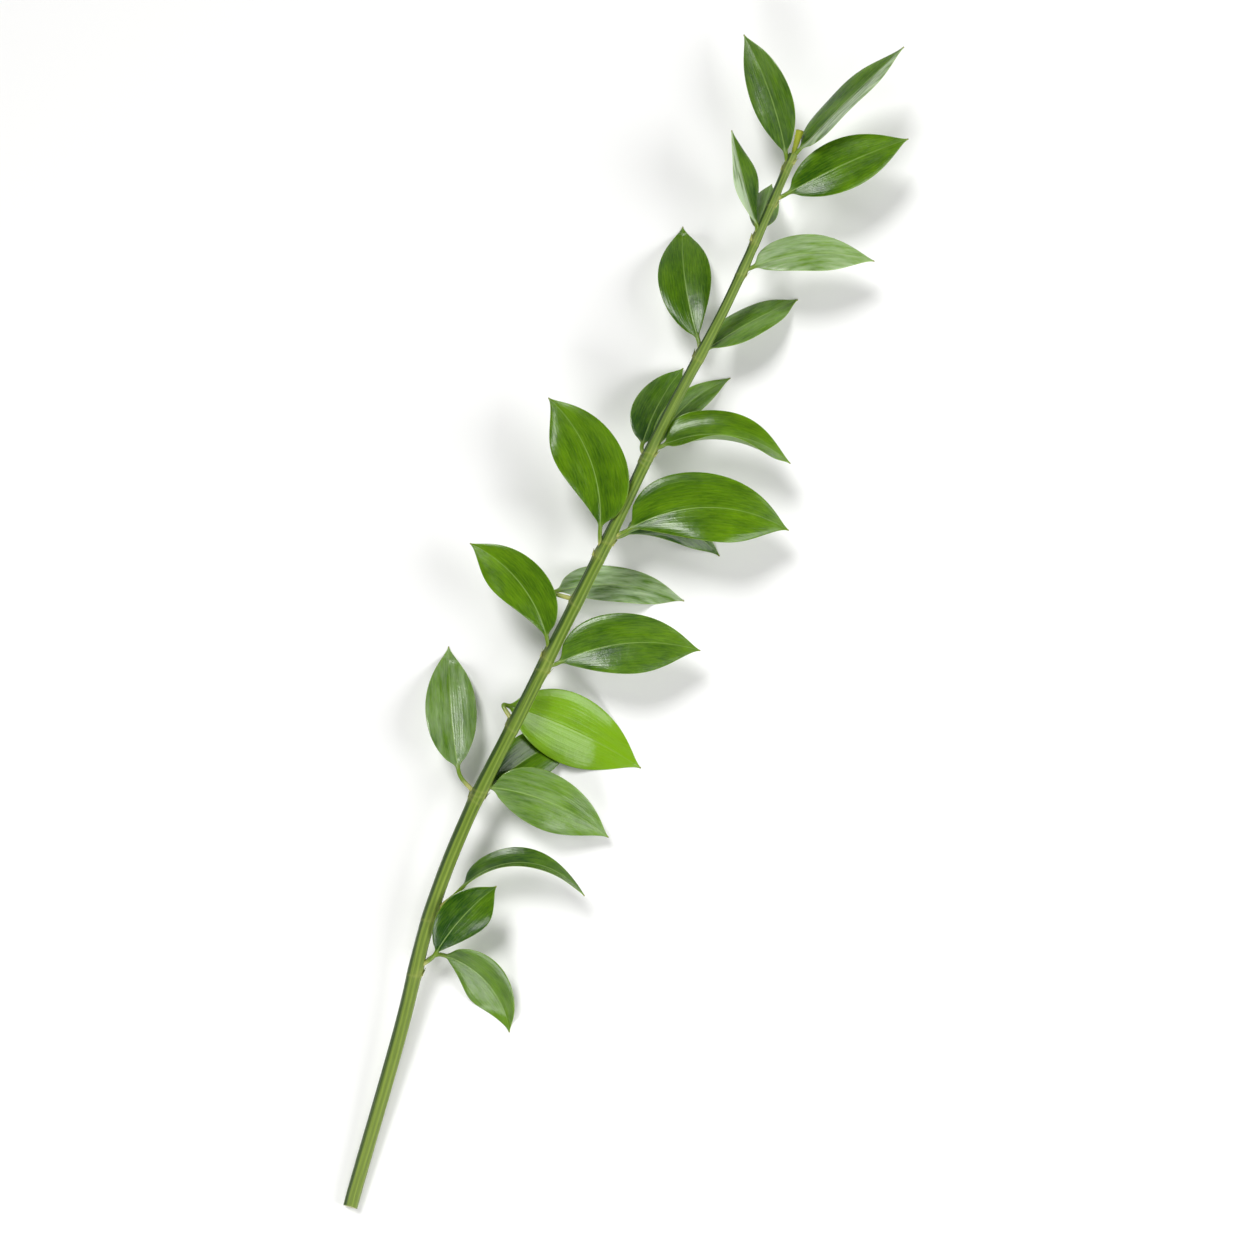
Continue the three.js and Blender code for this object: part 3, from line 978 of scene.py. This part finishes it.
def leaf_finish():
    """Green under its coats, from painted sheen to the dry point, glossy above and matt below."""
    finish, tree, shader = new_finish("ruscus_leaf", {
        "Roughness": 0.3, "Specular IOR Level": 0.36, "Subsurface Weight": 0.12,
        "Subsurface Radius": (0.4, 1.0, 0.1), "Subsurface Scale": 0.0008,
    })
    place = read(tree, "place", "Vector")
    under = read(tree, "under")
    along = read(tree, "along")
    veins = leaf_veins(tree, place)
    streaks = fibres(tree, place, *LEAF_STREAKS)

    green = paint(tree, LEAF_DEEP, [
        (leaf_tone(tree, place), LEAF_BRIGHT),
        # Painted sheen: a pale highlight laid on as colour
        (painted_sheen_film(tree, place), LEAF_SHEEN),
        (times(tree, veins, VEIN_SHARE), LEAF_VEIN),
        (times(tree, under, UNDER_SHARE), LEAF_UNDER),
        (midrib_line(tree), LEAF_VEIN),
        (fade(tree, read(tree, "margin"), *EDGE_LINE), LEAF_EDGE),
        (fade(tree, along, *FOOT_AND_STALK), STALK_GREEN),
        (fade(tree, along, *STALK_ROOT), STALK_TAN),
        (fade(tree, along, *DRY_POINT), LEAF_TIP),
    ])
    tree.links.new(green, shader.inputs["Base Color"])

    rough = plus(tree, times(tree, under, UNDER_ROUGHER), LEAF_ROUGHNESS)
    rough = plus(tree, rough, times(tree, streaks, STREAKS_ROUGHER))
    tree.links.new(rough, shader.inputs["Roughness"])

    puckers = fibres(tree, place, *LEAF_PUCKERS)
    height = times(tree, plus(tree, veins, streaks), FINE_RELIEF)
    height = plus(tree, height, times(tree, puckers, PUCKER_RELIEF))
    raise_grain(tree, shader, height, depth=0.00024)
    return finish


ruscus_leaf = leaf_finish()
print("leaf finish:", len(ruscus_leaf.node_tree.nodes), "nodes")

# %% [markdown]
# ## The cane's finish
# The cane is mid green and satin, yellower and woodier towards the cut. Its ribs are a lighter
# yellow-green, thin pale streaks along it are painted glints, its left flank is darkened with
# painted shade, the swellings at the leaves are worn pale in places, and the cut face shows pale
# pith with darker dots where the bundles of fibres run, inside a green rind.

# %% Build the cane's finish
CANE_GREEN = colour(0.098, 0.172, 0.012)
CANE_OLD = colour(0.160, 0.220, 0.045)
# Light yellow-green of the ribs, and of the painted glints
CANE_RIB_AND_GLINT = colour(0.270, 0.365, 0.055)
# Dark green of the dark fibres, and of the painted shade on the left flank
CANE_DARK_AND_SHADE = colour(0.014, 0.045, 0.003)
NODE_PALE = colour(0.340, 0.370, 0.090)
PITH = colour(0.560, 0.560, 0.300)
PITH_DOTS = colour(0.330, 0.340, 0.130)

RIB_SHARE = 0.5
RIB_SHARPNESS = 2.0
WORN_SHARE = 0.5
WORN_LEAST = 0.35
RING_SHARE = 0.2
DOTS_PER_METRE = 1500.0
CANE_ROUGHNESS = 0.33
GRAIN_ROUGHER = 0.15
CUT_ROUGHER = 0.35

# Fibres and fades
DARK_FIBRES = (40.0, 0.6, 2.2)
# Painted glints: thin pale streaks along the cane
GLINT_FIBRES = (55.0, 1.1, 2.4)
WORN_FIBRES = (3.0, 1.2, 2.0)
CANE_GRAIN = (18.0, 0.35, 2.0)
AGE = (0.0, 0.55, 0.8, 0.0)
DARK_STREAKS = (0.55, 1.0, 0.0, 0.6)
# How strong the painted glints are
PAINTED_GLINTS = (0.6, 1.0, 0.0, 0.45)
# Painted shade on the cane's left flank
PAINTED_FLANK_SHADE = (0.45, 0.95, 0.0, 0.9)
DOTS = (0.12, 0.34, 0.8, 0.0)
RIND = (0.84, 0.95)


def cane_colour(tree, place):
    """Green that turns yellow towards the cut, lighter on the ribs and streaked lengthwise."""
    rib = arithmetic(tree, "POWER", read(tree, "rib"), RIB_SHARPNESS)
    worn = plus(tree, fibres(tree, place, *WORN_FIBRES), WORN_LEAST)
    worn = times(tree, read(tree, "scar"), worn)
    return paint(tree, CANE_GREEN, [
        (fade(tree, read(tree, "height"), *AGE), CANE_OLD),
        (times(tree, rib, RIB_SHARE), CANE_RIB_AND_GLINT),
        (fade(tree, fibres(tree, place, *DARK_FIBRES), *DARK_STREAKS), CANE_DARK_AND_SHADE),
        # Painted glints: thin pale streaks laid on as colour
        (fade(tree, fibres(tree, place, *GLINT_FIBRES), *PAINTED_GLINTS), CANE_RIB_AND_GLINT),
        # Painted shade: the left flank darkened in colour
        (fade(tree, read(tree, "shaded_flank"), *PAINTED_FLANK_SHADE), CANE_DARK_AND_SHADE),
        (times(tree, worn, WORN_SHARE), NODE_PALE),
        (times(tree, read(tree, "ring"), RING_SHARE), NODE_PALE),
    ])


def cut_colour(tree):
    """Pith with dots, inside the green rind, for the slanted cut face."""
    spot = add_node(tree, "ShaderNodeTexCoord", {}).outputs["Object"]
    dots = add_node(tree, "ShaderNodeTexVoronoi", {"Vector": spot, "Scale": DOTS_PER_METRE})
    return paint(tree, PITH, [
        (fade(tree, dots.outputs["Distance"], *DOTS), PITH_DOTS),
        (fade(tree, read(tree, "reach"), *RIND), CANE_GREEN),
    ])


def cane_finish():
    """The skin with the cut face over it, in a fine grain that is also felt in the roughness."""
    constants = {"Roughness": 0.42, "Specular IOR Level": 0.28}
    finish, tree, shader = new_finish("ruscus_cane", constants)
    place = read(tree, "place", "Vector")
    cut = read(tree, "cut")
    skin = paint(tree, cane_colour(tree, place), [(cut, cut_colour(tree))])
    tree.links.new(skin, shader.inputs["Base Color"])
    grain = fibres(tree, place, *CANE_GRAIN)
    rough = plus(tree, times(tree, grain, GRAIN_ROUGHER), CANE_ROUGHNESS)
    rough = plus(tree, rough, times(tree, cut, CUT_ROUGHER))
    tree.links.new(rough, shader.inputs["Roughness"])
    raise_grain(tree, shader, grain, depth=0.00008)
    return finish


ruscus_cane = cane_finish()
print("cane finish:", len(ruscus_cane.node_tree.nodes), "nodes")

# %% [markdown]
# ## Bud and scales
# The bud is olive yellow with faint lengthwise lines and a darker rim at its blunt top. The scales
# are papery, pale at the foot and darker at the tip, where the dark is partly their dry edge and
# partly painted shade under the lifted tip. Both are one colour that changes with height, broken
# by the shared fibres.

# %% Build both finishes
SMALL_LINES = (5.0, 0.3, 2.2)
SMALL_GRAIN = (5.0, 0.25, 2.0)
UPWARDS = (0.0, 0.8)
LINES_SHOW = (0.5, 1.0, 0.0, 0.5)
RIM_SHOWS = (0.9, 1.0, 0.0, 0.6)


def small_finish(name, low, high, rim, roughness):
    """A finish that runs from one colour at the foot to another, with its rim at the very top."""
    constants = {"Roughness": roughness, "Specular IOR Level": 0.4}
    finish, tree, shader = new_finish(name, constants)
    place = read(tree, "place", "Vector")
    height = read(tree, "height")
    skin = paint(tree, low, [
        (fade(tree, height, *UPWARDS), high),
        (fade(tree, fibres(tree, place, *SMALL_LINES), *LINES_SHOW), rim),
        (fade(tree, height, *RIM_SHOWS), rim),
    ])
    tree.links.new(skin, shader.inputs["Base Color"])
    raise_grain(tree, shader, fibres(tree, place, *SMALL_GRAIN), depth=0.00006)
    return finish


BUD_FOOT = colour(0.205, 0.260, 0.012)
BUD_TOP = colour(0.340, 0.385, 0.022)
BUD_RIM = colour(0.170, 0.190, 0.018)
SCALE_FOOT = colour(0.400, 0.430, 0.120)
SCALE_TOP = colour(0.260, 0.300, 0.070)
# Dark tip of the scales: partly their dry edge, partly painted shade under the lifted tip
SCALE_DRY_RIM_AND_SHADE = colour(0.150, 0.160, 0.040)
ruscus_bud = small_finish("ruscus_bud", BUD_FOOT, BUD_TOP, BUD_RIM, roughness=0.5)
dry_scale = small_finish("dry_scale", SCALE_FOOT, SCALE_TOP, SCALE_DRY_RIM_AND_SHADE, roughness=0.7)

# %% [markdown]
# ## Putting the stem together
# The stem grew as one piece, so every part of it hangs on the same body, and the plain stem is
# hidden. Each takes its own finish.

# %% Give each piece its finish and its place on the stem
def dress(piece, finish):
    """Gives a piece its finish, hangs it on the body root and hides the plain stem."""
    piece.data.materials.append(finish)
    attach(piece, "root")
    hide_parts("leafy_stem")


dress(cane, ruscus_cane)
dress(scales, dry_scale)
dress(bud, ruscus_bud)
for leaf in leaves:
    dress(leaf, ruscus_leaf)
print("pieces:", len([cane, scales, bud, *leaves]))

# %% [markdown]
# ## Table, light and camera
# A cut stem shows best on a pale table in soft light. A wide key light from far off at the upper
# left draws the soft highlights on the leaves, and two weaker panels fill the shadows from the
# right and from below. The room itself is pale, but dim overhead: a glossy leaf mirrors what is
# above it, and white there would wash out its green. The camera looks straight down and is turned
# a little, so that the stem leans across the picture.

# %% The table
TABLE_HALF = 3.0
TABLE_PALE = colour(0.86, 0.86, 0.85)

table_mesh = bpy.data.meshes.new("table")
corners = TABLE_HALF * np.array([(-1, -1, 0), (1, -1, 0), (1, 1, 0), (-1, 1, 0)])
table_mesh.from_pydata(corners, [], [(0, 1, 2, 3)])
table_look = {"Base Color": TABLE_PALE, "Roughness": 0.8, "Specular IOR Level": 0.2}
table_mesh.materials.append(new_finish("pale_table", table_look)[0])
table = add_object("table", table_mesh)


# %% The lights
def add_light(name, kind, place, strength, **shape):
    """A light that faces the middle of the stem. shape is the size or angle of its kind."""
    light = bpy.data.lights.new(name, kind)
    light.energy = strength
    for setting, value in shape.items():
        setattr(light, setting, value)
    holder = add_object(name, light)
    holder.location = place
    holder.rotation_euler = (-holder.location).to_track_quat("-Z", "Y").to_euler()


add_light("key_light", "SUN", (-1.1, 0.9, 1.8), strength=2.3, angle=math.radians(20))
add_light("fill_light", "AREA", (1.7, 0.5, 1.3), strength=32.0, size=1.3)
add_light("low_light", "AREA", (0.3, -1.8, 1.4), strength=26.0, size=1.0)

# %% The room
ROOM_OVERHEAD = 0.03
ROOM_WALLS = 0.65
ROOM_DIMS = (0.05, 0.60)

room = bpy.data.worlds.new("pale_room")
room.use_nodes = True
looking = add_node(room.node_tree, "ShaderNodeTexCoord", {}).outputs["Generated"]
up = add_node(room.node_tree, "ShaderNodeSeparateXYZ", {0: looking}).outputs["Z"]
brightness = fade(room.node_tree, up, *ROOM_DIMS, ROOM_WALLS, ROOM_OVERHEAD)
background = room.node_tree.nodes["Background"]
background.inputs["Color"].default_value = colour(1.0, 1.0, 1.0)
room.node_tree.links.new(brightness, background.inputs["Strength"])
bpy.context.scene.world = room
bpy.context.scene.view_settings.view_transform = "Standard"

# %% The camera
LENS = 85.0
SENSOR = 36.0
VIEW_WIDTH = 0.650
VIEW_MIDDLE = (0.0168, 0.0040)
STEM_TILT = math.radians(22.85)
LEAF_LEVEL = 0.025

camera_data = bpy.data.cameras.new("camera")
camera_data.lens = LENS
camera_data.sensor_width = SENSOR
camera = add_object("camera", camera_data)
camera.location = (*VIEW_MIDDLE, LEAF_LEVEL + VIEW_WIDTH * LENS / SENSOR)
camera.rotation_euler = (0.0, 0.0, STEM_TILT)
bpy.context.scene.camera = camera
print("camera height:", round(camera.location.z, 3), "m")
